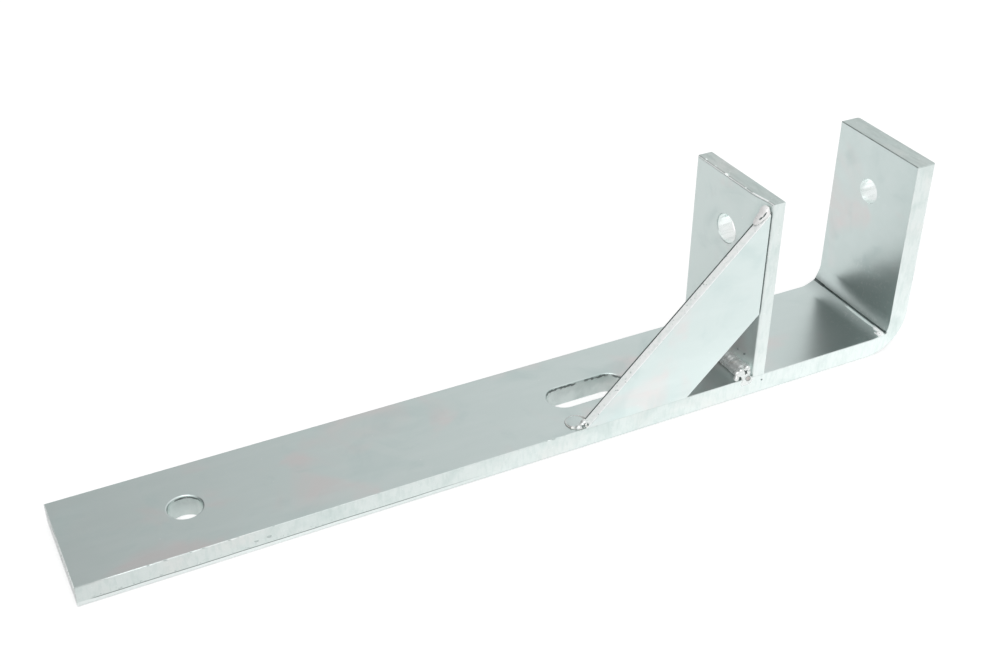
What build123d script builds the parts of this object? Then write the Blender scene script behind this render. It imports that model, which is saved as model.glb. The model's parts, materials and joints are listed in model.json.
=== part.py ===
from build123d import *
from math import cos, radians, sin, tan
import os

# Welded steel anchor for a beam, lying on its flat underside. X runs along the bar from its free
# end to its bent-up end, Y across it from the near side to the far side, and Z up. The origin is
# in the middle of the footprint. All lengths are millimetres and all angles are degrees.

# The bar: flat steel with one end bent up; the bend's inner side narrows to a pressed crease
bar_length = 371.5
bar_width = 50.8
bar_thickness = 9.5
fork_height = 92.8
bend_outer_radius = 19.5
bend_crease_inset = 1.9
bend_crease_radius = 0.5
upper_edge_radius = 0.5
lower_edge_radius = 1.3
cut_edge_radius = 0.35

# Holes in the bar, measured from its free end and from its centre line
end_hole_diameter = 13.5
end_hole_distance = 47.5
slot_width = 14.3
slot_length = 36.5
slot_distance = 220.5
slot_side_offset = -1.8
hole_lip_radius = 0.45

# The ear: an upright plate that makes a fork with the bent-up end
fork_opening = 67.0
ear_thickness = 7.5
ear_rolled_edge_radius = 1.4

# One bolt passes through the ear and the bent-up end
bolt_height = 69.2
bolt_side_offset = 1.6
ear_hole_diameter = 12.8
bent_end_hole_diameter = 11.2

# The brace: a strip on edge, flush with the near side
brace_thickness = 4.8
brace_strip_width = 34.0
brace_reach = 80.2
brace_angle = 44.4
brace_edge_radius = 0.45

# Weld beads: a fillet across the ear's foot that ends in a blob, a cap at the brace's toe, and a
# shallow bead from the brace's upper edge onto the ear at its tip
foot_weld_leg = 6.5
foot_weld_crown = 0.7
foot_weld_blob_radius = 5.2
foot_weld_blob_inset = 2.4
toe_weld_radius = 4.8
toe_weld_height = 2.2
toe_weld_lead = 2.6
tip_weld_run = 11.0
tip_weld_rise = 3.6
tip_weld_width = 6.2
tip_weld_crown = 0.9
tip_weld_wrap = 1.0
tip_weld_edge_radius = 0.8

# Places that the sizes above give
free_end_x = -bar_length / 2
bent_end_x = bar_length / 2
near_y = -bar_width / 2
bent_inner_face_x = bent_end_x - bar_thickness
ear_right_x = bent_inner_face_x - fork_opening
ear_left_x = ear_right_x - ear_thickness
bend_centre_x = bent_end_x - bend_outer_radius
crease_x = bent_inner_face_x - bend_crease_inset
crease_z = bar_thickness + bend_crease_inset
end_hole_x = free_end_x + end_hole_distance
slot_x = free_end_x + slot_distance
brace_toe_x = ear_left_x - brace_reach
brace_heel_x = brace_toe_x + brace_strip_width / sin(radians(brace_angle))
brace_tip_z = bar_thickness + (ear_left_x - brace_toe_x) * tan(radians(brace_angle))
brace_throat_z = bar_thickness + (ear_left_x - brace_heel_x) * tan(radians(brace_angle))

# How close an edge's middle has to be to a place to be picked there
near_enough = 0.01


def cap_sphere_radius(footprint_radius, height):
    # radius of the sphere whose cap has this footprint and height
    return (footprint_radius**2 + height**2) / (2 * height)


def long_edges(face):
    # the face's edges on the near and far sides of the bar
    return [edge for edge in face.edges() if abs(abs(edge.center().Y) - bar_width / 2) < near_enough]


os.makedirs("parts", exist_ok=True)

# Bar with its bent-up end, one bent piece
with BuildPart() as bar:
    with BuildSketch(Plane.XZ):
        with BuildLine():
            Line((free_end_x, 0), (bend_centre_x, 0))
            CenterArc((bend_centre_x, bend_outer_radius), bend_outer_radius, -90, 90)
            Line((bent_end_x, bend_outer_radius), (bent_end_x, fork_height))
            Line((bent_end_x, fork_height), (bent_inner_face_x, fork_height))
            Line((bent_inner_face_x, fork_height), (bent_inner_face_x, bend_outer_radius))
            TangentArc((bent_inner_face_x, bend_outer_radius), (crease_x, crease_z), tangent=(0, -1))
            TangentArc((bend_centre_x, bar_thickness), (crease_x, crease_z), tangent=(1, 0))
            Line((bend_centre_x, bar_thickness), (free_end_x, bar_thickness))
            Line((free_end_x, bar_thickness), (free_end_x, 0))
        make_face()
    extrude(amount=bar_width / 2, both=True)

    # the line that the bending tool pressed along the inside of the bend
    with Locations((crease_x, 0, crease_z)):
        Cylinder(bend_crease_radius, bar_width, rotation=(90, 0, 0), mode=Mode.SUBTRACT)

    # rounded long edges: slight on the inside of the bend, more on the outside
    bend_faces = bar.faces().filter_by(GeomType.CYLINDER).sort_by(SortBy.AREA)[1:]
    level_faces = bar.faces().filter_by(Axis.Z).sort_by(Axis.Z)
    upright_faces = bar.faces().filter_by(Axis.X).sort_by(Axis.X)
    outside = [level_faces[0], bend_faces[-1], upright_faces[-1]]
    inside = [level_faces[1], *bend_faces[:-1], upright_faces[1]]
    fillet([edge for face in outside for edge in long_edges(face)], radius=lower_edge_radius)
    fillet([edge for face in inside for edge in long_edges(face)], radius=upper_edge_radius)

    # the two cut ends
    fillet(bar.faces().sort_by(Axis.X)[0].edges(), radius=cut_edge_radius)
    fillet(bar.faces().filter_by(Axis.Z).sort_by(Axis.Z)[-1].edges(), radius=cut_edge_radius)

    # hole near the free end, and the slot
    with Locations((end_hole_x, 0, bar_thickness)):
        Hole(end_hole_diameter / 2, depth=bar_thickness)
    with BuildSketch(Plane.XY):
        with Locations((slot_x, slot_side_offset)):
            SlotOverall(slot_length, slot_width)
    extrude(amount=bar_thickness, mode=Mode.SUBTRACT)

    # bolt hole in the bent-up end
    with BuildSketch(Plane.YZ.offset(bent_inner_face_x)):
        with Locations((bolt_side_offset, bolt_height)):
            Circle(bent_end_hole_diameter / 2)
    extrude(amount=bar_thickness, mode=Mode.SUBTRACT)

    # rounded mouths of the hole and the slot on the upper face
    upper_face = bar.faces().filter_by(Axis.Z).filter_by(lambda face: face.center().Z > near_enough)
    upper_face = upper_face.sort_by(SortBy.AREA)[-1]
    mouths = [edge for wire in upper_face.inner_wires() for edge in wire.edges()]
    fillet(mouths, radius=hole_lip_radius)
    bar.part.label = "bar"

# Ear plate, standing on the bar; its left side has the rounded edges of a sheared plate
with BuildPart() as ear_plate:
    with BuildSketch(Plane.YZ.offset(ear_left_x)):
        with Locations((0, (bar_thickness + fork_height) / 2)):
            Rectangle(bar_width, fork_height - bar_thickness)
        with Locations((bolt_side_offset, bolt_height)):
            Circle(ear_hole_diameter / 2, mode=Mode.SUBTRACT)
    extrude(amount=ear_thickness)

    left_face = ear_plate.faces().sort_by(Axis.X)[0]
    right_face = ear_plate.faces().sort_by(Axis.X)[-1]
    rolled = left_face.outer_wire().edges().sort_by(Axis.Z)[1:]
    plain = right_face.outer_wire().edges().sort_by(Axis.Z)[1:]
    fillet(rolled, radius=ear_rolled_edge_radius)
    fillet(plain, radius=cut_edge_radius)
    left_mouth = ear_plate.faces().sort_by(Axis.X)[0].inner_wires().edges()
    fillet(left_mouth, radius=hole_lip_radius)
    ear_plate.part.label = "ear_plate"

# Brace plate, a strip between two slanting edges, cut off level by the bar and upright by the ear
with BuildPart() as brace_plate:
    with BuildSketch(Plane.XZ.offset(bar_width / 2 - brace_thickness)):
        with BuildLine():
            Polyline(
                (brace_toe_x, bar_thickness),
                (ear_left_x, brace_tip_z),
                (ear_left_x, brace_throat_z),
                (brace_heel_x, bar_thickness),
                close=True,
            )
        make_face()
    extrude(amount=brace_thickness)

    slanting_edges = brace_plate.edges().filter_by(
        lambda edge: edge.tangent_at(0.5).X * edge.tangent_at(0.5).Z > near_enough
    )
    fillet(slanting_edges, radius=brace_edge_radius)
    brace_plate.part.label = "brace_plate"

# Fillet bead along the foot of the ear, with a blob at its near end
with BuildPart() as ear_foot_weld:
    bead_middle = foot_weld_leg / 2 + foot_weld_crown * cos(radians(45))
    with BuildSketch(Plane.XZ):
        with BuildLine():
            ThreePointArc(
                (ear_left_x - foot_weld_leg, bar_thickness),
                (ear_left_x - bead_middle, bar_thickness + bead_middle),
                (ear_left_x, bar_thickness + foot_weld_leg),
            )
            Polyline(
                (ear_left_x, bar_thickness + foot_weld_leg),
                (ear_left_x + ear_rolled_edge_radius, bar_thickness + foot_weld_leg),
                (ear_left_x + ear_rolled_edge_radius, bar_thickness),
                (ear_left_x - foot_weld_leg, bar_thickness),
            )
        make_face()
    extrude(amount=bar_width / 2, both=True)
    with Locations((ear_left_x - foot_weld_blob_inset, near_y + foot_weld_blob_inset, bar_thickness)):
        Sphere(foot_weld_blob_radius)
    split(bisect_by=Plane.XY.offset(bar_thickness), keep=Keep.TOP)
    split(bisect_by=Plane.XZ.offset(bar_width / 2), keep=Keep.BOTTOM)
    add(ear_plate.part, mode=Mode.SUBTRACT)
    ear_foot_weld.part.label = "ear_foot_weld"

# Cap of weld on the bar at the brace's toe
with BuildPart() as brace_toe_weld:
    toe_sphere = cap_sphere_radius(toe_weld_radius, toe_weld_height)
    toe_sphere_z = bar_thickness + toe_weld_height - toe_sphere
    with Locations((brace_toe_x - toe_weld_lead, near_y + toe_weld_radius, toe_sphere_z)):
        Sphere(toe_sphere)
    split(bisect_by=Plane.XY.offset(bar_thickness), keep=Keep.TOP)
    add(brace_plate.part, mode=Mode.SUBTRACT)
    brace_toe_weld.part.label = "brace_toe_weld"

# Shallow bead over the brace's tip: it starts on the upper edge, wraps it, and runs up the ear
with BuildPart() as brace_tip_weld:
    downhill = Vector(-cos(radians(brace_angle)), -sin(radians(brace_angle)))
    uphill_normal = Vector(-sin(radians(brace_angle)), cos(radians(brace_angle)))
    tip = Vector(ear_left_x, brace_tip_z)
    bead_start = tip + downhill * tip_weld_run
    bead_end = tip + Vector(0, tip_weld_rise)
    bead_normal = Vector(bead_start.Y - bead_end.Y, bead_end.X - bead_start.X).normalized()
    with BuildSketch(Plane.XZ.offset(bar_width / 2 - tip_weld_width)):
        with BuildLine():
            ThreePointArc(bead_start, (bead_start + bead_end) / 2 + bead_normal * tip_weld_crown, bead_end)
            Polyline(
                bead_end,
                tip - Vector(0, tip_weld_wrap / cos(radians(brace_angle))),
                bead_start - uphill_normal * tip_weld_wrap,
                bead_start,
            )
        make_face()
    extrude(amount=tip_weld_width)
    fillet(brace_tip_weld.edges().filter_by(GeomType.CIRCLE), radius=tip_weld_edge_radius)
    add(brace_plate.part, mode=Mode.SUBTRACT)
    add(ear_plate.part, mode=Mode.SUBTRACT)
    brace_tip_weld.part.label = "brace_tip_weld"

export_step(bar.part, "parts/bar.step")
export_step(ear_plate.part, "parts/ear_plate.step")
export_step(brace_plate.part, "parts/brace_plate.step")
export_step(ear_foot_weld.part, "parts/ear_foot_weld.step")
export_step(brace_toe_weld.part, "parts/brace_toe_weld.step")
export_step(brace_tip_weld.part, "parts/brace_tip_weld.step")
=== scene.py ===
import bpy
import json
import math
import random
from mathutils import Matrix, Vector


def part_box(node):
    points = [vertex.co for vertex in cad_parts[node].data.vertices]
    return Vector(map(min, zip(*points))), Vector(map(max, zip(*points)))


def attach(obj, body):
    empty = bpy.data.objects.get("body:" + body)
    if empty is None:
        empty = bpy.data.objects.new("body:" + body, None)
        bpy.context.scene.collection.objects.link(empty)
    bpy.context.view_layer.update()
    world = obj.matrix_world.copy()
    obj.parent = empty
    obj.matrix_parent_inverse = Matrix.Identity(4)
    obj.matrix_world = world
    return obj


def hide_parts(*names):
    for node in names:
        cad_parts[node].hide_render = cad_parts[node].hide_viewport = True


# A welded beam anchor of zinc-plated flat steel. Everything is in metres, in the frame of the
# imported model: x along the bar to its bent-up end, y away from the brace, z up.
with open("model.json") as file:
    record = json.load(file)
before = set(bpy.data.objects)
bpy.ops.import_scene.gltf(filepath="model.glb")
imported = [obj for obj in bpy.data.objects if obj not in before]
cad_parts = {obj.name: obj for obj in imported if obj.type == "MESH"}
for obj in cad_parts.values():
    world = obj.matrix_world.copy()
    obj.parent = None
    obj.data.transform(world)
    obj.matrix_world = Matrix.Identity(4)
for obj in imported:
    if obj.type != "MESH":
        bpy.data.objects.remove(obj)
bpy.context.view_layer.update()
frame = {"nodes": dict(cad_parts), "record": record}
mounts = {mount["name"]: mount for mount in frame["record"]["mounts"]}
print("frame loaded:", ", ".join(sorted(frame["nodes"])))

mm = 0.001
barLow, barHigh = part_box("bar")
earLow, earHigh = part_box("ear_plate")
braceLow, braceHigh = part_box("brace_plate")
barTop = earLow.z  # upper face of the flat bar
barThickness = barTop - barLow.z
tiny = 0.02 * mm
rim = 2 * mm  # how far in from an edge a face still counts as lying on it
facing, leaning = 0.9, 0.3  # shares of a normal from which a face looks that way, or leans that way


# Picking and shaping, as by hand in edit mode

def clearSelection():
    if bpy.context.object and bpy.context.object.mode == "EDIT":
        bpy.ops.object.mode_set(mode="OBJECT")
    bpy.ops.object.select_all(action="DESELECT")


def onlyPick(piece):
    clearSelection()
    piece.select_set(True)
    bpy.context.view_layer.objects.active = piece


def settle(name):
    # names the new primitive and puts its place, turn and size into its mesh
    piece = bpy.context.object
    piece.name = name
    piece.data.name = name
    bpy.ops.object.transform_apply(location=True, rotation=True, scale=True)
    return piece


def addBlock(name, low, high):
    clearSelection()
    bpy.ops.mesh.primitive_cube_add(size=1, location=(low + high) / 2, scale=high - low)
    return settle(name)


def addRod(name, start, end, radius, sides=96):
    clearSelection()
    along = end - start
    bpy.ops.mesh.primitive_cylinder_add(
        vertices=sides, radius=radius, depth=along.length,
        location=(start + end) / 2, rotation=along.to_track_quat("Z", "Y").to_euler())
    return settle(name)


def addBall(name, centre, size, turn=(0, 0, 0), subdivisions=3):
    clearSelection()
    bpy.ops.mesh.primitive_ico_sphere_add(
        subdivisions=subdivisions, radius=1, location=centre, rotation=turn, scale=size)
    return settle(name)


def pick(piece, kind, test):
    # selects the faces, edges or vertices that pass the test and leaves the piece in edit mode
    onlyPick(piece)
    bpy.ops.object.mode_set(mode="EDIT")
    bpy.ops.mesh.select_mode(type=kind)
    bpy.ops.mesh.select_all(action="DESELECT")
    bpy.ops.object.mode_set(mode="OBJECT")
    mesh = piece.data
    if kind == "FACE":
        for face in mesh.polygons:
            face.select = test(face.center, face.normal)
    elif kind == "EDGE":
        for edge in mesh.edges:
            ends = [mesh.vertices[index].co for index in edge.vertices]
            edge.select = test(ends[0], ends[1])
    else:
        for vertex in mesh.vertices:
            vertex.select = test(vertex.co)
    bpy.ops.object.mode_set(mode="EDIT")


def backToObject():
    bpy.ops.object.mode_set(mode="OBJECT")


def bevelPicked(width, segments):
    bpy.ops.mesh.bevel(offset=width, segments=segments, profile=0.5, affect="EDGES", clamp_overlap=False)
    backToObject()


def bevelEdges(piece, test, width, segments):
    pick(piece, "EDGE", test)
    bevelPicked(width, segments)


def dragPicked(value, falloff, reach):
    # moves what is picked, and what lies within reach of it less and less
    bpy.ops.transform.translate(value=value, use_proportional_edit=True,
                                proportional_edit_falloff=falloff, proportional_size=reach)


def sliceAcross(piece, places, normal, test=None):
    # cuts the whole piece, or the faces that pass the test, into strips without removing anything
    for place in places:
        pick(piece, "FACE", test or (lambda centre, faceNormal: True))
        bpy.ops.mesh.bisect(plane_co=place, plane_no=normal)
        backToObject()


def applyModifier(piece, kind, **settings):
    onlyPick(piece)
    modifier = piece.modifiers.new(kind.title(), kind)
    for name, value in settings.items():
        setattr(modifier, name, value)
    bpy.ops.object.modifier_apply(modifier=modifier.name)


def combine(piece, other, operation):
    applyModifier(piece, "BOOLEAN", operation=operation, solver="EXACT", object=other)
    bpy.data.objects.remove(other)


def joinPieces(name, pieces):
    clearSelection()
    for piece in pieces:
        piece.select_set(True)
    bpy.context.view_layer.objects.active = pieces[0]
    bpy.ops.object.join()
    pieces[0].name = name
    return pieces[0]


def tidyMesh(piece, angle=35):
    # merges doubles, turns every face outwards and smooths all but the sharp edges
    pick(piece, "FACE", lambda centre, normal: True)
    bpy.ops.mesh.remove_doubles(threshold=0.002 * mm)
    bpy.ops.mesh.normals_make_consistent(inside=False)
    backToObject()
    bpy.ops.object.shade_smooth_by_angle(angle=math.radians(angle))
    applyModifier(piece, "WEIGHTED_NORMAL", keep_sharp=True, weight=80)


def wear(piece, materials):
    for material in materials:
        piece.data.materials.append(material)


def dressFaces(piece, material, test):
    # puts one of the piece's materials on the faces that pass the test
    index = piece.data.materials.find(material.name)
    for face in piece.data.polygons:
        if test(face.center, face.normal):
            face.material_index = index


def finishPiece(piece, node):
    # the piece stands for the node and rides on the one body
    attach(piece, "root")
    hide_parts(node)


def insideBall(away, size, slack):
    # whether a place, given from the middle of a flattened ball, lies inside it or nearly so
    return Vector((part / reach for part, reach in zip(away, size))).length < 1 + slack


# Materials

def startMaterial(name):
    material = bpy.data.materials.new(name)
    material.use_nodes = True
    return material, material.node_tree


def addNode(tree, kind, settings=None, inputs=None):
    # a node with its settings, and its inputs either linked or set
    node = tree.nodes.new(kind)
    for name, value in (settings or {}).items():
        setattr(node, name, value)
    for name, value in (inputs or {}).items():
        if isinstance(value, bpy.types.NodeSocket):
            tree.links.new(value, node.inputs[name])
        else:
            node.inputs[name].default_value = value
    return node


def compute(tree, operation, *values):
    return addNode(tree, "ShaderNodeMath", {"operation": operation}, dict(enumerate(values))).outputs[0]


def ramp(tree, value, start, end, low=0.0, high=1.0, smooth=True):
    # runs from low to high while the value runs from start to end
    course = {"interpolation_type": "SMOOTHSTEP" if smooth else "LINEAR"}
    return addNode(tree, "ShaderNodeMapRange", course, {
        "Value": value, "From Min": start, "From Max": end, "To Min": low, "To Max": high}).outputs["Result"]


def blend(tree, share, under, over):
    return addNode(tree, "ShaderNodeMix", None, {"Factor": share, "A": under, "B": over}).outputs["Result"]


def tint(tree, share, under, over):
    # the same with two colours, which have sockets of their own
    return addNode(tree, "ShaderNodeMix", {"data_type": "RGBA"}, {
        "Factor": share, 6: under, 7: over}).outputs[2]


def split(tree, place):
    return addNode(tree, "ShaderNodeSeparateXYZ", None, {"Vector": place}).outputs


def noise(tree, place, size, detail, distortion=0.0, roughness=0.5):
    # clouds whose blotches are about this size
    return addNode(tree, "ShaderNodeTexNoise", None, {
        "Vector": place, "Scale": 1 / size, "Detail": detail, "Roughness": roughness,
        "Distortion": distortion}).outputs["Fac"]


def noiseMask(tree, place, size, low, high, detail=3.0, distortion=0.0):
    return ramp(tree, noise(tree, place, size, detail, distortion), low, high)


def bandMask(tree, place, axis, edges, fray=0.0, fraySize=mm):
    # 1 between the second and third place along the axis, 0 outside the first and fourth
    along = split(tree, place)[axis]
    if fray:
        along = compute(tree, "MULTIPLY_ADD", noise(tree, place, fraySize, 3.0), 2 * fray, along)
        edges = [edge + fray for edge in edges]
    rise = ramp(tree, along, edges[0], edges[1])
    fall = ramp(tree, along, edges[3], edges[2])
    return compute(tree, "MULTIPLY", rise, fall)


def zincFinish(name, look):
    # plated steel: clouded colour, faint streaks and specks, with uneven gloss, and the look's bands of colour,
    # among them painted reflection and painted shade
    material, tree = startMaterial(name)
    shader = tree.nodes["Principled BSDF"]
    place = addNode(tree, "ShaderNodeTexCoord").outputs["Object"]
    streakPlace = addNode(tree, "ShaderNodeMapping", None, {
        "Vector": place, "Scale": look["streakStretch"]}).outputs[0]
    layers = {
        "warm": noiseMask(tree, place, look["cloudSize"], 0.52, 0.72, 3.0, 0.6),
        "cool": noiseMask(tree, place, look["cloudSize"] * 0.7, 0.5, 0.72, 4.0, 0.9),
        "streak": noiseMask(tree, streakPlace, look["streakSize"], 0.42, 0.68, 5.0),
        "fleck": noiseMask(tree, place, look["fleckSize"], look["fleckStart"], look["fleckStart"] + 0.05, 2.0),
    }
    colour = look["colour"]
    for layer, mask in layers.items():
        share = compute(tree, "MULTIPLY", mask, look[layer + "Share"])
        colour = tint(tree, share, colour, look[layer + "Colour"])
    for band in look["bands"]:
        mask = bandMask(tree, place, "Z", band["heights"], band.get("fray", 0), band.get("fraySize", mm))
        for axis, edges in (("X", band.get("run")), ("Y", band.get("side"))):
            if edges:
                mask = compute(tree, "MULTIPLY", mask, bandMask(tree, place, axis, edges))
        if "patchSize" in band:
            patch = noiseMask(tree, place, band["patchSize"], band["patchStart"], band["patchStart"] + 0.12)
            mask = compute(tree, "MULTIPLY", mask, patch)
        share = compute(tree, "MULTIPLY", mask, band["share"])
        colour = tint(tree, share, colour, band["colour"])
    gloss = ramp(tree, layers["cool"], 0, 1, *look["roughness"], smooth=False)

    wave = noise(tree, place, look["waveSize"], 2.0)
    grain = noise(tree, streakPlace, look["streakSize"], 6.0, roughness=0.6)
    bump = addNode(tree, "ShaderNodeBump", None, {
        "Height": wave, "Strength": 1.0, "Distance": look["waveHeight"]})
    bump = addNode(tree, "ShaderNodeBump", None, {
        "Height": grain, "Strength": 1.0, "Distance": look["grainHeight"], "Normal": bump.outputs["Normal"]})
    tree.links.new(colour, shader.inputs["Base Color"])
    tree.links.new(gloss, shader.inputs["Roughness"])
    tree.links.new(bump.outputs["Normal"], shader.inputs["Normal"])
    shader.inputs["Metallic"].default_value = look["metallic"]
    return material


rolledLook = {
    "colour": (0.68, 0.77, 0.755, 1), "cloudSize": 34 * mm, "metallic": 1.0,
    "warmColour": (0.76, 0.72, 0.715, 1), "warmShare": 0.8,
    "coolColour": (0.58, 0.69, 0.68, 1), "coolShare": 0.5,
    "streakStretch": (0.25, 1.0, 1.0), "streakSize": 6 * mm,
    "streakColour": (0.74, 0.82, 0.81, 1), "streakShare": 0.25,
    "fleckSize": 1.6 * mm, "fleckStart": 0.74, "fleckColour": (0.9, 0.93, 0.92, 1), "fleckShare": 0.6,
    "roughness": (0.30, 0.40), "waveSize": 26 * mm, "waveHeight": 0.12 * mm, "grainHeight": 0.012 * mm,
    "bands": [
        # bright scratches in the crook of the bend
        {"heights": (barTop - 1 * mm, barTop, barTop + 22 * mm, barTop + 30 * mm),
         "run": (barHigh.x - 32 * mm, barHigh.x - 22 * mm, barHigh.x, barHigh.x + 1 * mm),
         "side": (barLow.y - mm, barLow.y, -4 * mm, 8 * mm),
         "patchSize": 1.6 * mm, "patchStart": 0.55, "colour": (0.92, 0.96, 0.95, 1), "share": 0.4},
    ],
}
rolledZinc = zincFinish("rolledZinc", rolledLook)

# the ear, whose plating is a little duller
dullLook = {**rolledLook, "colour": (0.73, 0.82, 0.80, 1), "metallic": 0.66, "bands": []}
dullZinc = zincFinish("dullZinc", dullLook)

shearedLookWithPaintedLight = {
    "colour": (0.74, 0.80, 0.785, 1), "cloudSize": 30 * mm, "metallic": 1.0,
    "warmColour": (0.80, 0.79, 0.77, 1), "warmShare": 0.4,
    "coolColour": (0.62, 0.72, 0.70, 1), "coolShare": 0.45,
    "streakStretch": (1.0, 1.0, 0.3), "streakSize": 1.3 * mm,
    "streakColour": (0.60, 0.69, 0.67, 1), "streakShare": 0.4,
    "fleckSize": 1.1 * mm, "fleckStart": 0.67, "fleckColour": (0.95, 1.0, 0.99, 1), "fleckShare": 0.3,
    "roughness": (0.42, 0.6), "waveSize": 9 * mm, "waveHeight": 0.12 * mm, "grainHeight": 0.05 * mm,
    "bands": [
        # paler lower margin of the bar's side, a painted reflection of the side in the floor, with a dark line
        # along its top, painted contact shadow, and darker patches above that
        {"heights": (-1 * mm, 0, 2.3 * mm, 2.5 * mm), "fray": 0.35 * mm, "fraySize": 30 * mm,
         "run": (-0.3, -0.2, -0.13, 0.01), "colour": (0.90, 0.945, 0.935, 1), "share": 0.85},
        {"heights": (2.15 * mm, 2.35 * mm, 2.5 * mm, 2.75 * mm), "fray": 0.35 * mm, "fraySize": 30 * mm,
         "run": (-0.182, -0.178, -0.06, -0.02), "colour": (0.2, 0.24, 0.23, 1), "share": 0.9},
        {"heights": (2.5 * mm, 2.8 * mm, 3.2 * mm, 4.6 * mm), "fray": 0.5 * mm, "fraySize": 3 * mm,
         "run": (-0.182, -0.178, -0.1, -0.05), "patchSize": 1.2 * mm, "patchStart": 0.56,
         "colour": (0.42, 0.48, 0.47, 1), "share": 0.5},
    ],
}
shearedZincWithPaintedLight = zincFinish("shearedZincWithPaintedLight", shearedLookWithPaintedLight)

# duller and more even, for the slanting and rounded edges; its near-white colour is painted reflected light,
# the pale sheen of these edges, of the bar's free end and of the lump at the crease's end
slopeLook = {**shearedLookWithPaintedLight,
    "colour": (0.98, 1.0, 0.995, 1), "metallic": 0.05, "warmShare": 0.1, "coolShare": 0.2,
    "streakStretch": (1.0, 1.0, 1.0), "streakSize": 1.7 * mm,
    "streakColour": (0.80, 0.87, 0.85, 1), "streakShare": 0.6,
    "fleckSize": 1.1 * mm, "fleckStart": 0.66, "fleckColour": (0.4, 0.46, 0.45, 1), "fleckShare": 0.7,
    "roughness": (0.5, 0.65), "bands": [],
}
slopeZinc = zincFinish("slopeZinc", slopeLook)

# sawn tops of the two upright plates
sawnLook = {**shearedLookWithPaintedLight,
    "colour": (0.60, 0.68, 0.66, 1), "streakStretch": (1.0, 0.25, 1.0), "streakSize": 2.0 * mm,
    "streakColour": (0.46, 0.53, 0.51, 1), "roughness": (0.38, 0.5), "fleckShare": 0.3, "bands": [],
}
sawnZinc = zincFinish("sawnZinc", sawnLook)

# punched and burnished walls of the two bolt holes
burnishedLook = {**shearedLookWithPaintedLight,
    "colour": (0.94, 0.99, 0.98, 1), "coolShare": 0.2,
    "streakStretch": (0.3, 1.0, 1.0), "streakSize": 2.0 * mm,
    "streakColour": (0.74, 0.81, 0.79, 1), "streakShare": 0.5,
    "roughness": (0.2, 0.3), "fleckShare": 0, "bands": [],
}
burnishedZinc = zincFinish("burnishedZinc", burnishedLook)

# punched walls of the hole and slot in the flat bar, torn and dark under the upper rim
piercedLook = {**shearedLookWithPaintedLight,
    "colour": (0.86, 0.94, 0.92, 1), "streakStretch": (1.0, 1.0, 0.6), "streakSize": 4.0 * mm,
    "streakColour": (0.68, 0.77, 0.75, 1), "streakShare": 0.5, "fleckShare": 0, "roughness": (0.3, 0.45),
    "bands": [
        {"heights": (barTop - 1.7 * mm, barTop - 1.2 * mm, barTop - 0.5 * mm, barTop - 0.3 * mm),
         "fray": 0.8 * mm, "fraySize": 1.6 * mm, "patchSize": 6 * mm, "patchStart": 0.42,
         "colour": (0.13, 0.15, 0.15, 1), "share": 0.85},
    ],
}
piercedZinc = zincFinish("piercedZinc", piercedLook)

# near-black, for painted shade in narrow grooves and recesses: the bend's crease, the weld pits, and the
# brace's far upper edge and its end in the gap to the ear; also the dark weld spatter and the crater's dark rim
paintedShadeAndDarkMarksLook = {**shearedLookWithPaintedLight,
    "colour": (0.2, 0.24, 0.235, 1), "warmShare": 0.1, "coolShare": 0.1, "streakShare": 0.2,
    "fleckShare": 0.2, "roughness": (0.5, 0.6), "bands": [],
}
paintedShadeAndDarkMarksZinc = zincFinish("paintedShadeAndDarkMarksZinc", paintedShadeAndDarkMarksLook)

beadLook = {
    "colour": (0.80, 0.83, 0.82, 1), "cloudSize": 5 * mm, "metallic": 0.6,
    "warmColour": (0.62, 0.56, 0.50, 1), "warmShare": 0.6,
    "coolColour": (0.5, 0.56, 0.55, 1), "coolShare": 0.6,
    "streakStretch": (1.0, 1.0, 1.0), "streakSize": 1.5 * mm,
    "streakColour": (0.85, 0.88, 0.87, 1), "streakShare": 0.4,
    "fleckSize": 0.9 * mm, "fleckStart": 0.66, "fleckColour": (0.22, 0.22, 0.2, 1), "fleckShare": 0.6,
    "roughness": (0.26, 0.42), "waveSize": 2.6 * mm, "waveHeight": 0.2 * mm, "grainHeight": 0.05 * mm,
    "bands": [
        # dull brownish toe, where the bead runs out on the bar
        {"heights": (barTop - 1 * mm, barTop - 0.9 * mm, barTop + 0.05 * mm, barTop + 0.5 * mm),
         "side": (barLow.y - 0.05 * mm, barLow.y + 0.3 * mm, 0.05, 0.06),
         "fray": 0.2 * mm, "fraySize": 1.4 * mm, "colour": (0.16, 0.16, 0.14, 1), "share": 0.8},
    ],
}
beadZinc = zincFinish("beadZinc", beadLook)

# paler and duller, on the tongue at the brace's tip
tongueLook = {**beadLook,
    "colour": (0.93, 0.92, 0.915, 1), "metallic": 0.15, "warmColour": (0.78, 0.74, 0.72, 1),
    "coolShare": 0.2, "roughness": (0.35, 0.5), "bands": [],
}
tongueZinc = zincFinish("tongueZinc", tongueLook)

# brownish skin in the crater where the arc was broken off
craterLook = {**beadLook, "colour": (0.46, 0.43, 0.41, 1), "warmShare": 0.3, "coolShare": 0.5, "bands": []}
craterZinc = zincFinish("craterZinc", craterLook)

# pale ridge that the press squeezed up beside the crease of the bend
ridgeLook = {**slopeLook, "colour": (0.70, 0.79, 0.77, 1)}
ridgeZinc = zincFinish("ridgeZinc", ridgeLook)
print("materials made")


# Bar with its bent-up end

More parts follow.
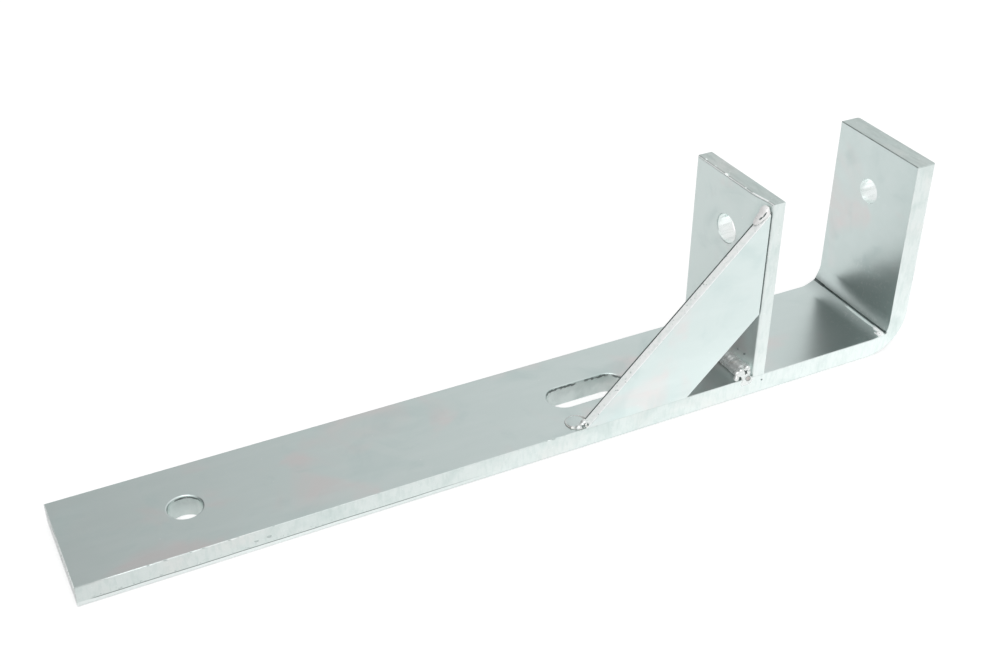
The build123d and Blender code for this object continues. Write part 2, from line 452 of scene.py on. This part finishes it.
barShape = {
    "bendInner": 10 * mm, "bendSteps": 24, "gridRun": 14 * mm,
    # cuts of the bend's finer grid, as shares of the thickness and of half the width
    "gridRises": (0.2, 0.4, 0.6, 0.8),
    "gridPlaces": (-0.94, -0.85, -0.72, -0.55, -0.3, 0, 0.3, 0.55, 0.72, 0.85, 0.94),
    "outerEdge": 1.3 * mm, "innerEdge": 0.3 * mm, "cutEdge": 0.35 * mm,
    "slotLength": 36.5 * mm, "slotWidth": 14.3 * mm, "mouthEdge": 0.65 * mm,
    # the bend is pressed in to a crease along its middle, and both its sides swell out there
    "creaseInset": 1.9 * mm, "creaseRadius": 0.42 * mm, "creaseRun": (-25.44 * mm, 21.2 * mm),
    "swell": 0.7 * mm, "swellReach": 8.5 * mm,
    # pale ridge beside the crease, then the lump at its near end, in millimetres: along, in from
    # the near side and up from the crease, then half the length, width and height
    "creaseLumps": [(-1.15, 14.0, -0.6, 0.65, 13.5, 0.5), (-1.3, 3.4, -0.45, 1.0, 3.6, 0.65),
                    (-1.8, 1.2, -0.6, 1.8, 1.5, 0.85)],
    # knocks along the near upper edge and on the near side: along in metres, then up from the
    # upper face and the size in millimetres
    "knocks": [(-0.1593, 0.1, 0.7), (-0.1530, 0.1, 0.9), (-0.1435, 0.05, 0.6), (-0.1388, 0.1, 0.8),
               (-0.1290, 0.1, 0.7), (-0.1255, 0.0, 0.5), (-0.1120, 0.1, 0.6), (-0.1190, -4.6, 0.7),
               (-0.1140, -4.2, 0.8), (-0.0700, 0.1, 0.6), (0.0030, 0.15, 0.7), (0.0062, 0.1, 0.9),
               (0.0115, 0.1, 0.6), (0.0260, 0.15, 0.7), (0.1320, 0.15, 0.6), (0.1400, 0.1, 0.5)],
    "knockForm": (1.5, 0.7, 0.7), "knockTurn": (0, 0.2, 0.1), "knockReach": 1.3 * mm,
    "edgeLean": 0.2,  # share of a normal from which a face belongs to the bar's sides and ends
}


def roundHole(piece, mount):
    # through hole of a stated bore
    axis = Vector(mount["axis"])
    centre = Vector(mount["pos_m"])
    reach = axis * 2 * barThickness
    combine(piece, addRod("holeTool", centre - reach, centre + reach, mount["dims"]["r_mm"] * mm), "DIFFERENCE")


def inHole(mount):
    # test for the walls of a hole that runs along x
    centre = Vector(mount["pos_m"])
    radius = mount["dims"]["r_mm"] * mm + tiny
    return lambda place, normal: abs(normal.x) < leaning and (place.yz - centre.yz).length < radius


def slotHole(piece, centre, length, width):
    low = Vector((centre.x - (length - width) / 2, centre.y, barLow.z - barThickness))
    tool = addRod("slotTool", low, low + Vector((0, 0, 3 * barThickness)), width / 2)
    pick(tool, "VERT", lambda co: co.x > low.x + tiny)
    bpy.ops.transform.translate(value=(length - width, 0, 0))
    backToObject()
    combine(piece, tool, "DIFFERENCE")


def addKnock(centre, size, shape):
    return addBall("knock", centre, Vector(shape["knockForm"]) * size * mm, shape["knockTurn"], 1)


def makeBar():
    shape = barShape
    outer = shape["bendInner"] + barThickness
    bendAxis = Vector((barHigh.x - outer, 0, barLow.z + outer))
    bar = addBlock("welded_bar", barLow, Vector((bendAxis.x, barHigh.y, barTop)))

    # a finer grid for the bend, which the spin carries round
    gridStart = bendAxis.x - shape["gridRun"]

    def inGrid(centre, normal):
        return centre.x > gridStart

    starts = [Vector((gridStart, 0, 0)), Vector((gridStart + shape["gridRun"] / 2, 0, 0))]
    rises = [Vector((0, 0, barLow.z + barThickness * share)) for share in shape["gridRises"]]
    places = [Vector((0, barHigh.y * share, 0)) for share in shape["gridPlaces"]]
    sliceAcross(bar, starts, (1, 0, 0))
    sliceAcross(bar, rises, (0, 0, 1), inGrid)
    sliceAcross(bar, places, (0, 1, 0), inGrid)
    pick(bar, "FACE", lambda centre, normal: normal.x > facing)
    bpy.ops.mesh.spin(steps=shape["bendSteps"], angle=math.radians(90), center=bendAxis, axis=(0, 1, 0))
    backToObject()
    for rise in (shape["gridRun"] / 2, shape["gridRun"] / 2, barHigh.z - bendAxis.z - shape["gridRun"]):
        topNow = max(vertex.co.z for vertex in bar.data.vertices)
        pick(bar, "FACE", lambda centre, normal: normal.z > facing and abs(centre.z - topNow) < tiny)
        bpy.ops.mesh.extrude_region_move(TRANSFORM_OT_translate={"value": (0, 0, rise)})
        backToObject()
    tidyMesh(bar)

    # pressed in along the bend's middle, and swollen at both ends of that line
    creaseWay = Vector((1, 0, -1)).normalized()
    roundMiddle = bendAxis + creaseWay * shape["bendInner"]
    crease = Vector((barHigh.x - barThickness - shape["creaseInset"], 0, barTop + shape["creaseInset"]))
    chord = 2 * shape["bendInner"] * math.sin(math.radians(22.5))
    pick(bar, "VERT", lambda co: (Vector((co.x, 0, co.z)) - roundMiddle).length < tiny)
    dragPicked(crease - roundMiddle, "SHARP", chord)
    backToObject()
    for side in (-1, 1):
        pick(bar, "VERT", lambda co: (co - crease - Vector((0, side * barHigh.y, 0))).length < tiny)
        dragPicked((0, side * shape["swell"], 0), "SMOOTH", shape["swellReach"])
        backToObject()

    # rounded long edges, found before the holes cut them up: outside more, inside less
    def depthInside(p):
        # how far the point is from the bar's outer side: 0 outside, the thickness inside
        if p.x <= bendAxis.x:
            return p.z - barLow.z
        if p.z >= bendAxis.z:
            return barHigh.x - p.x
        return outer - (Vector((p.x, 0, p.z)) - bendAxis).length

    def onSide(p):
        return abs(p.y) > barHigh.y - tiny

    def alongOutside(a, b):
        return all(onSide(p) and abs(depthInside(p)) < tiny for p in (a, b))

    def alongInside(a, b):
        # the inner side comes out short of the bar's thickness wherever the bend is pressed in
        return all(onSide(p) and barThickness - 1.5 * mm < depthInside(p) < barThickness + tiny for p in (a, b))

    bevelEdges(bar, alongOutside, shape["outerEdge"], 4)
    bevelEdges(bar, alongInside, shape["innerEdge"], 3)

    knockPlaces = [(Vector((along, barLow.y - 0.1 * size * mm, barTop + up * mm)), size)
                   for along, up, size in shape["knocks"]]
    knocks = [addKnock(centre, size, shape) for centre, size in knockPlaces]
    combine(bar, joinPieces("knocks", knocks), "DIFFERENCE")

    roundHole(bar, mounts["end_hole"])
    roundHole(bar, mounts["bent_end_hole"])
    slotCentre = Vector(mounts["adjusting_slot"]["pos_m"])
    slotHole(bar, slotCentre, shape["slotLength"], shape["slotWidth"])

    def onTop(a, b):
        return abs(a.z - barTop) < tiny and abs(b.z - barTop) < tiny

    holeCentre = Vector(mounts["end_hole"]["pos_m"])
    holeRadius = mounts["end_hole"]["dims"]["r_mm"] * mm

    def onHoleMouth(a, b):
        return onTop(a, b) and all(abs((p.xy - holeCentre.xy).length - holeRadius) < tiny for p in (a, b))

    def onSlotMouth(a, b):
        halfRun = (shape["slotLength"] - shape["slotWidth"]) / 2
        for p in (a, b):
            fromAxis = Vector((max(abs(p.x - slotCentre.x) - halfRun, 0), p.y - slotCentre.y))
            if abs(fromAxis.length - shape["slotWidth"] / 2) > tiny:
                return False
        return onTop(a, b)

    def atFreeEnd(a, b):
        return abs(a.x - barLow.x) < tiny and abs(b.x - barLow.x) < tiny

    bevelEdges(bar, lambda a, b: onHoleMouth(a, b) or onSlotMouth(a, b), shape["mouthEdge"], 3)
    bevelEdges(bar, atFreeEnd, shape["cutEdge"], 2)
    pick(bar, "FACE", lambda centre, normal: normal.z > facing and abs(centre.z - barHigh.z) < tiny)
    bpy.ops.mesh.region_to_loop()
    bevelPicked(shape["cutEdge"], 2)

    # the crease itself, and the metal squeezed up beside it
    start, end = (crease + Vector((0, place, 0)) for place in shape["creaseRun"])
    combine(bar, addRod("creaseTool", start, end, shape["creaseRadius"], sides=24), "DIFFERENCE")
    lumps = [(crease + Vector((along * mm, barLow.y + inward * mm, up * mm)), Vector(size) * mm)
             for along, inward, up, *size in shape["creaseLumps"]]
    for centre, size in lumps:
        combine(bar, addBall("lump", centre, size), "UNION")
    tidyMesh(bar)

    def inUprightHole(centre, normal):
        if abs(normal.z) > leaning or not barLow.z < centre.z < barTop:
            return False
        inRun = abs(centre.x - slotCentre.x) < shape["slotLength"] / 2 + tiny
        inSlot = inRun and abs(centre.y) < shape["slotWidth"]
        return inSlot or (centre.xy - holeCentre.xy).length < holeRadius + tiny

    def onLump(centre, some):
        return centre.z > barTop + tiny and any(
            insideBall(centre - middle, size, 0.03) for middle, size in some)

    def inKnock(centre, normal):
        return centre.z < barTop - tiny and any(
            (centre - place).length < shape["knockReach"] * size for place, size in knockPlaces)

    def inCrease(centre, normal):
        return (Vector((centre.x, 0, centre.z)) - crease).length < shape["creaseRadius"]

    lean = shape["edgeLean"]

    def onLongSide(centre, normal):
        return abs(normal.y) > lean and abs(centre.y) > barHigh.y - rim

    wear(bar, [rolledZinc, shearedZincWithPaintedLight, slopeZinc, piercedZinc, paintedShadeAndDarkMarksZinc, sawnZinc, burnishedZinc, ridgeZinc])
    # the long sides, with the painted reflection and painted contact shadow along their foot
    dressFaces(bar, shearedZincWithPaintedLight, onLongSide)
    dressFaces(bar, sawnZinc, lambda centre, normal: normal.z > lean and centre.z > barHigh.z - mm)
    # the free end takes the near-white slope finish: painted reflected light
    dressFaces(bar, slopeZinc, lambda centre, normal: normal.x < -lean and centre.x < barLow.x + mm)
    dressFaces(bar, burnishedZinc, inHole(mounts["bent_end_hole"]))
    dressFaces(bar, piercedZinc, inUprightHole)
    dressFaces(bar, ridgeZinc, lambda centre, normal: onLump(centre, lumps[:1]))
    # the lump at the crease's near end takes the near-white slope finish: painted highlight
    dressFaces(bar, slopeZinc, lambda centre, normal: onLump(centre, lumps[1:]))
    dressFaces(bar, sawnZinc, inKnock)
    # painted shade in the crease
    dressFaces(bar, paintedShadeAndDarkMarksZinc, inCrease)
    finishPiece(bar, "bar")
    return bar


bar = makeBar()
print("bar made:", len(bar.data.polygons), "faces")


# Ear, the upright plate that makes the fork

earShape = {
    "rolledEdge": 1.1 * mm, "cutEdge": 0.35 * mm, "mouthEdge": 0.45 * mm,
    # the welds pulled its far edge back; its left face curves away to the near edge
    "pull": 1.2 * mm, "curve": 1.5 * mm, "curveReach": 13 * mm,
    "curveSlices": [-24.4 * mm, -23.2 * mm, -21.5 * mm, -19.5 * mm, -17 * mm, -14.5 * mm, -12.5 * mm],
    # knocks along the top left edge: across in metres, then the size in millimetres
    "knocks": [(0.0052, 1.3), (0.0205, 0.7), (-0.008, 0.6), (0.0135, 0.5)],
    "knockForm": (0.8, 1.2, 0.8), "knockTurn": (0.3, 0.2, 0),
    # the paler faces take the near-white slope finish, painted reflected light
    "softRise": 0.6,  # least rise of the faces of the rounded top left edge that are paler
}


def makeEar():
    shape = earShape
    ear = addBlock("welded_ear", earLow, earHigh)
    roundHole(ear, mounts["ear_hole"])
    holeCentre = Vector(mounts["ear_hole"]["pos_m"])
    holeRadius = mounts["ear_hole"]["dims"]["r_mm"] * mm

    def onFace(p, x):
        return abs(p.x - x) < tiny

    def onMouth(p):
        return onFace(p, earLow.x) and abs((p.yz - holeCentre.yz).length - holeRadius) < tiny

    def onRim(a, b, x):
        # an outer edge of that face, apart from its foot
        if not (onFace(a, x) and onFace(b, x)):
            return False
        middle = (a + b) / 2
        return abs(abs(middle.y) - earHigh.y) < tiny or abs(middle.z - earHigh.z) < tiny

    bevelEdges(ear, lambda a, b: onMouth(a) and onMouth(b), shape["mouthEdge"], 3)
    bevelEdges(ear, lambda a, b: onRim(a, b, earLow.x), shape["rolledEdge"], 5)
    bevelEdges(ear, lambda a, b: onRim(a, b, earHigh.x), shape["cutEdge"], 2)

    # the left face curves away to the near edge, while the rest is hidden and stays
    edge = shape["rolledEdge"] + tiny
    sliceAcross(ear, [Vector((0, place, 0)) for place in shape["curveSlices"]], (0, 1, 0))
    pick(ear, "VERT", lambda co: co.x < earLow.x + edge)
    bpy.ops.mesh.hide(unselected=True)
    backToObject()
    pick(ear, "VERT", lambda co: co.x < earLow.x + edge and co.y < earLow.y + edge)
    dragPicked((shape["curve"], 0, 0), "SMOOTH", shape["curveReach"])
    bpy.ops.mesh.reveal(select=False)
    backToObject()

    # the far edge stands a little back, as the weld pulled it
    pick(ear, "VERT", lambda co: co.y > earHigh.y - rim)
    dragPicked((-shape["pull"], 0, 0), "LINEAR", earHigh.y - earLow.y - 2 * rim)
    backToObject()
    for across, size in shape["knocks"]:
        centre = Vector((earLow.x + 0.2 * mm, across, earHigh.z + 0.1 * mm))
        combine(ear, addKnock(centre, size, shape), "DIFFERENCE")
    tidyMesh(ear)

    def onTop(centre):
        return centre.z > earHigh.z - rim

    def softEdge(centre, normal):
        return onTop(centre) and normal.x < 0 and shape["softRise"] < normal.z < facing

    def onUprightEdge(centre, normal):
        return abs(normal.y) > leaning and abs(centre.y) > earHigh.y - rim

    wear(ear, [dullZinc, shearedZincWithPaintedLight, slopeZinc, sawnZinc, burnishedZinc])
    dressFaces(ear, shearedZincWithPaintedLight, onUprightEdge)
    dressFaces(ear, sawnZinc, lambda centre, normal: onTop(centre) and normal.z > facing)
    # painted reflected light on the paler faces of the rounded top left edge
    dressFaces(ear, slopeZinc, softEdge)
    dressFaces(ear, burnishedZinc, inHole(mounts["ear_hole"]))
    finishPiece(ear, "ear_plate")
    return ear


ear = makeEar()
print("ear made:", len(ear.data.polygons), "faces")


# Brace, a strip on edge between the bar and the ear

braceShape = {
    "stripWidth": 34 * mm, "edge": 0.45 * mm, "earGap": 0.8 * mm, "shadeLineWidth": 0.5 * mm,
    "overlap": 1.5 * mm,  # how far its tip stands past the ear's left face, which curves away there
}
braceSlope = (braceHigh - braceLow) * Vector((1, 0, 1))
braceSlope.normalize()
braceUp = Vector((-braceSlope.z, 0, braceSlope.x))  # square to the strip's upper edge


def trimOff(piece, place, normal):
    # removes what lies on the side that the normal points to, and closes the cut
    pick(piece, "FACE", lambda centre, faceNormal: True)
    bpy.ops.mesh.bisect(plane_co=place, plane_no=normal, use_fill=True, clear_outer=True)
    backToObject()


def makeBrace():
    shape = braceShape
    tip = braceHigh + braceSlope * (shape["overlap"] / braceSlope.x)
    brace = addBlock("welded_brace", braceLow, tip)
    toe = Vector((braceLow.x, 0, braceLow.z))
    trimOff(brace, toe, braceUp)
    trimOff(brace, toe - braceUp * shape["stripWidth"], -braceUp)

    def alongSlope(a, b):
        return abs((b - a).normalized().dot(braceSlope)) > 0.999

    bevelEdges(brace, alongSlope, shape["edge"], 3)
    trimOff(brace, tip - Vector((shape["earGap"], 0, 0)), (1, 0, 0))
    # a strip along the upper edge's far side for the painted shade line
    shadeLineSide = braceHigh.y - shape["edge"] - shape["shadeLineWidth"]
    sliceAcross(brace, [Vector((0, shadeLineSide, 0))], (0, 1, 0))
    tidyMesh(brace)

    def shadedEdge(centre, normal):
        # painted shade: a dark line along the upper edge's far side, and the end that faces the ear across its
        # gap
        return normal.x > facing or normal.dot(braceUp) > leaning and centre.y > shadeLineSide

    wear(brace, [rolledZinc, slopeZinc, paintedShadeAndDarkMarksZinc])
    # the slanting edges take the near-white slope finish, painted reflected light
    dressFaces(brace, slopeZinc, lambda centre, normal: abs(normal.dot(braceUp)) > leaning)
    # painted shade on the far upper edge and on the end in the gap to the ear
    dressFaces(brace, paintedShadeAndDarkMarksZinc, shadedEdge)
    finishPiece(brace, "brace_plate")
    return brace


brace = makeBrace()
print("brace made:", len(brace.data.polygons), "faces")


# Weld beads, each heaped up from overlapping lumps and then fused

def fuseBead(name, node, lumps, pits, patches, bead):
    # one skin over all the lumps, smoothed, softly rippled and pitted
    piece = joinPieces(name, lumps)
    applyModifier(piece, "REMESH", mode="VOXEL", voxel_size=bead["voxel"])
    applyModifier(piece, "SMOOTH", factor=0.5, iterations=bead["smoothing"])
    clouds = bpy.data.textures.new(name, "CLOUDS")
    clouds.noise_scale = bead["rippleSize"]
    clouds.noise_depth = 1
    applyModifier(piece, "DISPLACE", texture=clouds, strength=bead["ripple"], mid_level=0.5,
                  texture_coords="LOCAL")
    for centre, size, turn in pits:
        combine(piece, addBall("pit", centre, size, (0, -turn, 0), 2), "DIFFERENCE")
    tidyMesh(piece, 60)

    def inPit(place, centre, size, turn):
        return insideBall(Matrix.Rotation(turn, 3, "Y") @ (place - centre), size, 0.02)

    wear(piece, [beadZinc, paintedShadeAndDarkMarksZinc, rolledZinc, craterZinc, tongueZinc])
    for material, centre, reach, rise in patches:
        dressFaces(piece, material, lambda place, normal: (place - centre).length < reach and normal.z >= rise)
    # painted shade in the pits
    dressFaces(piece, paintedShadeAndDarkMarksZinc, lambda place, normal: any(inPit(place, *pit) for pit in pits))
    finishPiece(piece, node)
    return piece


def lumpsAt(corner, places, turn=0):
    # flattened balls, each by its place from the corner and its half sizes, all in millimetres
    return [addBall("lump", corner + Vector(place[:3]) * mm, Vector(place[3:]) * mm, (0, -turn, 0))
            for place in places]


def pitsAt(corner, places):
    # each by its place from the corner, its half sizes and its turn in degrees
    return [(corner + Vector(place[:3]) * mm, Vector(place[3:6]) * mm, math.radians(place[6]))
            for place in places]


def patchesAt(corner, places):
    # each by its material, its place from the corner, its reach and the least rise of its faces
    return [(material, corner + Vector(place) * mm, reach * mm, rise)
            for material, *place, reach, rise in places]


def addRing(centre, radius, thickness, turn=(0, 0, 0)):
    clearSelection()
    bpy.ops.mesh.primitive_torus_add(major_radius=radius, minor_radius=thickness, major_segments=48,
                                     location=centre, rotation=turn)
    return settle("ring")


footCorner = Vector((earLow.x, barLow.y, barTop))
footBead = {
    "voxel": 0.28 * mm, "smoothing": 5, "ripple": 0.1 * mm, "rippleSize": 2.6 * mm,
    # the fillet: one lump at each step, up to the blob
    "leg": 6.5 * mm, "step": 1.7 * mm, "lumpShare": 0.62, "lumpVary": 0.02, "inset": 0.2,
    "lumpRun": 2.2, "endRun": 0.3 * mm, "wander": 0.15 * mm, "seed": 11, "blobRun": 4 * mm,
    # the blob at the near end with its lumps, and the spill down the side
    "blob": [(-3.2, 2.2, 2.0, 3.3, 2.3, 2.7), (-0.9, 1.5, 4.6, 1.5, 1.4, 1.5), (-4.0, 1.5, 3.9, 1.6, 1.4, 1.4),
             (-5.9, 1.8, 3.0, 1.1, 1.1, 1.1), (-6.6, 0.9, 1.2, 1.3, 1.3, 1.3), (-3.3, 0.7, 2.4, 1.2, 0.9, 1.0),
             (-1.3, 0.35, -1.2, 3.2, 0.65, 2.7), (-3.3, 0.3, -1.9, 1.7, 0.6, 1.7)],
    # three dark drops, two on the ear's face and one on the bar's side
    "spatter": [(0.1, 10.4, 8.7, 0.5, 0.6, 0.6), (0.5, 6.3, 8.45, 0.5, 0.6, 0.6),
                (6.4, 0.1, -2.85, 0.6, 0.45, 0.6)],
    "spatterReach": 0.9,
    "crater": (Vector((-1.2, 0, 0.3)) * mm, 1.2 * mm, 0.38 * mm),
    "craterTurn": (math.radians(80), 0, math.radians(-10)),
    "pits": [(-2.1, 0.2, 3.4, 0.4, 1.6, 1.2, 40), (-2.1, 0.2, 3.4, 0.4, 1.6, 1.1, -35),
             (-4.9, 0.2, 0.7, 0.75, 1.4, 1.3, 10)],
    # the crater's dark rim, and the skin in it
    "patches": [(paintedShadeAndDarkMarksZinc, -1.2, -0.3, 0.3, 1.25, -1), (craterZinc, -1.2, -0.3, 0.3, 0.95, -1)],
}


def makeFootBead():
    bead = footBead
    draw = random.Random(bead["seed"])
    inset = bead["leg"] * bead["inset"]
    lumps = []
    y = barHigh.y - bead["step"] / 2
    while y > barLow.y + bead["blobRun"]:
        size = bead["leg"] * (bead["lumpShare"] + draw.uniform(-bead["lumpVary"], bead["lumpVary"]))
        x = earLow.x - inset + draw.uniform(-1, 1) * bead["wander"]
        z = barTop + inset + draw.uniform(-1, 1) * bead["wander"]
        halfRun = min(bead["step"] * bead["lumpRun"], barHigh.y - y + bead["endRun"])
        lumps.append(addBall("lump", Vector((x, y, z)), (size, halfRun, size)))
        y -= bead["step"]
    lumps += lumpsAt(footCorner, bead["blob"] + bead["spatter"])
    place, radius, thickness = bead["crater"]
    lumps.append(addRing(footCorner + place, radius, thickness, bead["craterTurn"]))
    drops = [(paintedShadeAndDarkMarksZinc, *drop[:3], bead["spatterReach"], -1) for drop in bead["spatter"]]
    patches = patchesAt(footCorner, bead["patches"] + drops)
    return fuseBead("foot_bead", "ear_foot_weld", lumps, pitsAt(footCorner, bead["pits"]), patches, bead)


toeCorner = Vector((braceLow.x, barLow.y, barTop))
toeBead = {
    "voxel": 0.18 * mm, "smoothing": 2, "ripple": 0.1 * mm, "rippleSize": 1.8 * mm,
    # a flat puddle with a raised rim, and bright lumps on its near side
    "lumps": [(-1.6, 5.6, 0.0, 4.6, 4.5, 0.45), (-2.5, 1.8, 0.3, 1.7, 1.3, 1.2), (0.6, 3.0, 1.0, 1.7, 1.6, 1.5),
              (-4.9, 3.1, 0.1, 1.1, 0.9, 0.7), (0.9, 1.2, 0.9, 1.5, 1.0, 1.2), (-0.6, 2.6, 0.6, 1.3, 1.1, 1.0)],
    "rim": (Vector((-1.6, 5.6, 0.05)) * mm, 4.6 * mm, 0.32 * mm),
    "pits": [(-1.0, 0.9, 1.1, 0.75, 0.8, 0.8, 0), (-3.3, 3.1, 0.9, 0.6, 0.5, 0.5, 0),
             (0.8, 0.3, 1.7, 0.5, 0.6, 0.6, 0)],
    "patches": [(rolledZinc, -2.0, 6.4, 0.4, 3.7, 0.9)],
}


def makeToeBead():
    place, radius, thickness = toeBead["rim"]
    lumps = lumpsAt(toeCorner, toeBead["lumps"]) + [addRing(toeCorner + place, radius, thickness)]
    pits = pitsAt(toeCorner, toeBead["pits"])
    patches = patchesAt(toeCorner, toeBead["patches"])
    return fuseBead("toe_bead", "brace_toe_weld", lumps, pits, patches, toeBead)


tipCorner = Vector((braceHigh.x, barLow.y, braceHigh.z))
tipBead = {
    "voxel": 0.2 * mm, "smoothing": 8, "ripple": 0.05 * mm, "rippleSize": 2.0 * mm,
    # a tongue along the end of the brace's upper edge, and what filled the gap under its tip
    "lumps": [(-2.2, 2.45, -0.5, 4.6, 2.3, 1.05), (-0.6, 2.9, 1.6, 2.3, 2.4, 1.1),
              (-0.9, 1.5, 0.2, 2.6, 1.45, 1.3)],
    "pits": [(-1.9, 0.75, 0.8, 1.3, 0.4, 0.22, 50), (-3.4, 1.1, -0.6, 1.2, 0.4, 0.22, 35)],
    "patches": [(tongueZinc, 0, 0, 0, 15, -1)],
}


def makeTipBead():
    lumps = lumpsAt(tipCorner, tipBead["lumps"], math.atan2(braceSlope.z, braceSlope.x))
    pits = pitsAt(tipCorner, tipBead["pits"])
    patches = patchesAt(tipCorner, tipBead["patches"])
    return fuseBead("tip_bead", "brace_tip_weld", lumps, pits, patches, tipBead)


beads = [makeFootBead(), makeToeBead(), makeTipBead()]
print("weld beads made:", ", ".join(f"{bead.name} {len(bead.data.polygons)} faces" for bead in beads))


# Camera, floor and light

photo = {
    "width": 1000, "focal": 1419.86,
    "place": Vector((-216.62, -419.99, 361.10)) * mm,
    "yaw": 26.721, "pitch": 33.588, "roll": 0.168,
}


def makeCamera():
    sensor = 36.0
    turn = (Matrix.Rotation(math.radians(-photo["yaw"]), 4, "Z")
            @ Matrix.Rotation(math.radians(90 - photo["pitch"]), 4, "X")
            @ Matrix.Rotation(math.radians(photo["roll"]), 4, "Z"))
    bpy.ops.object.camera_add(location=photo["place"], rotation=turn.to_euler())
    camera = bpy.context.object
    camera.data.sensor_width = sensor
    camera.data.lens = photo["focal"] / photo["width"] * sensor
    camera.data.clip_start = 10 * mm
    camera.data.clip_end = 50
    bpy.context.scene.camera = camera


studio = {
    "floorSize": 8.0, "floorDrop": 0.1 * mm, "floorColour": (0.5, 0.5, 0.5, 1), "floorGlow": 0.6,
    # how bright the floor looks in the object: in front on the left and right, near and far, then
    # behind and under the bar
    "frontGlow": (0.38, 0.88), "farFrontGlow": (0.42, 0.62), "farFrontRun": (12 * mm, 60 * mm),
    "behindGlow": 0.44, "underGlow": 0.24,
    "lampSize": 1.6, "lampPlace": Vector((-0.5, -0.9, 1.8)), "lampPower": 12,
    # the room's greys, and where it goes from left to right, from back to front and up overhead
    "backLeft": 0.12, "backRight": 0.82, "front": 0.9, "zenith": 0.95,
    "rightRun": (-0.55, 0.6), "frontRun": (0.45, -0.3), "zenithRun": (0.72, 0.98),
}


def grey(level):
    return (level, level, level, 1)


def seenDirectly(tree, withGlossy):
    path = addNode(tree, "ShaderNodeLightPath").outputs
    seen = path["Is Camera Ray"]
    if withGlossy:
        seen = compute(tree, "MAXIMUM", seen, path["Is Glossy Ray"])
    return compute(tree, "MAXIMUM", seen, path["Is Transmission Ray"])


def makeFloor():
    clearSelection()
    bpy.ops.mesh.primitive_plane_add(size=studio["floorSize"], location=(0, 0, barLow.z - studio["floorDrop"]))
    floor = settle("floor")
    material, tree = startMaterial("floorWhite")
    tree.nodes.remove(tree.nodes["Principled BSDF"])
    paint = addNode(tree, "ShaderNodeBsdfDiffuse", None, {"Color": studio["floorColour"]}).outputs[0]

    # what the object mirrors of it
    place = addNode(tree, "ShaderNodeTexCoord").outputs["Object"]
    parts = split(tree, place)
    closeGlow = ramp(tree, parts["X"], barLow.x, barHigh.x, *studio["frontGlow"], smooth=False)
    farGlow = ramp(tree, parts["X"], barLow.x, barHigh.x, *studio["farFrontGlow"], smooth=False)
    nearEnd, farEnd = studio["farFrontRun"]
    farFront = ramp(tree, parts["Y"], barLow.y - nearEnd, barLow.y - farEnd)
    behind = ramp(tree, parts["Y"], barLow.y, barHigh.y)
    under = compute(tree, "MULTIPLY",
                    bandMask(tree, place, "Y", (barLow.y, barLow.y + mm, barHigh.y - mm, barHigh.y)),
                    bandMask(tree, place, "X", (barLow.x, barLow.x + mm, barHigh.x - 3 * mm, barHigh.x)))
    mirrored = blend(tree, farFront, closeGlow, farGlow)
    mirrored = blend(tree, behind, mirrored, studio["behindGlow"])
    mirrored = blend(tree, under, mirrored, studio["underGlow"])
    inMirror = addNode(tree, "ShaderNodeLightPath").outputs["Is Glossy Ray"]
    strength = blend(tree, inMirror, studio["floorGlow"], mirrored)

    glow = addNode(tree, "ShaderNodeEmission", None, {"Strength": strength}).outputs[0]
    bright = addNode(tree, "ShaderNodeAddShader", None, {0: paint, 1: glow}).outputs[0]
    mix = addNode(tree, "ShaderNodeMixShader", None, {0: seenDirectly(tree, True), 1: paint, 2: bright})
    tree.links.new(mix.outputs[0], tree.nodes["Material Output"].inputs["Surface"])
    floor.data.materials.append(material)


def makeLight():
    clearSelection()
    direction = -studio["lampPlace"]
    bpy.ops.object.light_add(type="AREA", location=studio["lampPlace"],
                             rotation=direction.to_track_quat("-Z", "Y").to_euler())
    lamp = bpy.context.object
    lamp.data.size = studio["lampSize"]
    lamp.data.energy = studio["lampPower"]

    # the room round the object: paler in front and overhead, darker behind on the left
    world = bpy.data.worlds.new("studio")
    bpy.context.scene.world = world
    world.use_nodes = True
    tree = world.node_tree
    parts = split(tree, addNode(tree, "ShaderNodeTexCoord").outputs["Generated"])
    back = ramp(tree, parts["X"], *studio["rightRun"], studio["backLeft"], studio["backRight"])
    room = tint(tree, ramp(tree, parts["Y"], *studio["frontRun"]), back, grey(studio["front"]))
    room = tint(tree, ramp(tree, parts["Z"], *studio["zenithRun"]), room, grey(studio["zenith"]))
    room = tint(tree, seenDirectly(tree, False), room, grey(1))
    tree.links.new(room, tree.nodes["Background"].inputs["Color"])


makeCamera()
makeFloor()
makeLight()
bpy.context.scene.view_settings.view_transform = "Standard"
print("camera, floor and light made")
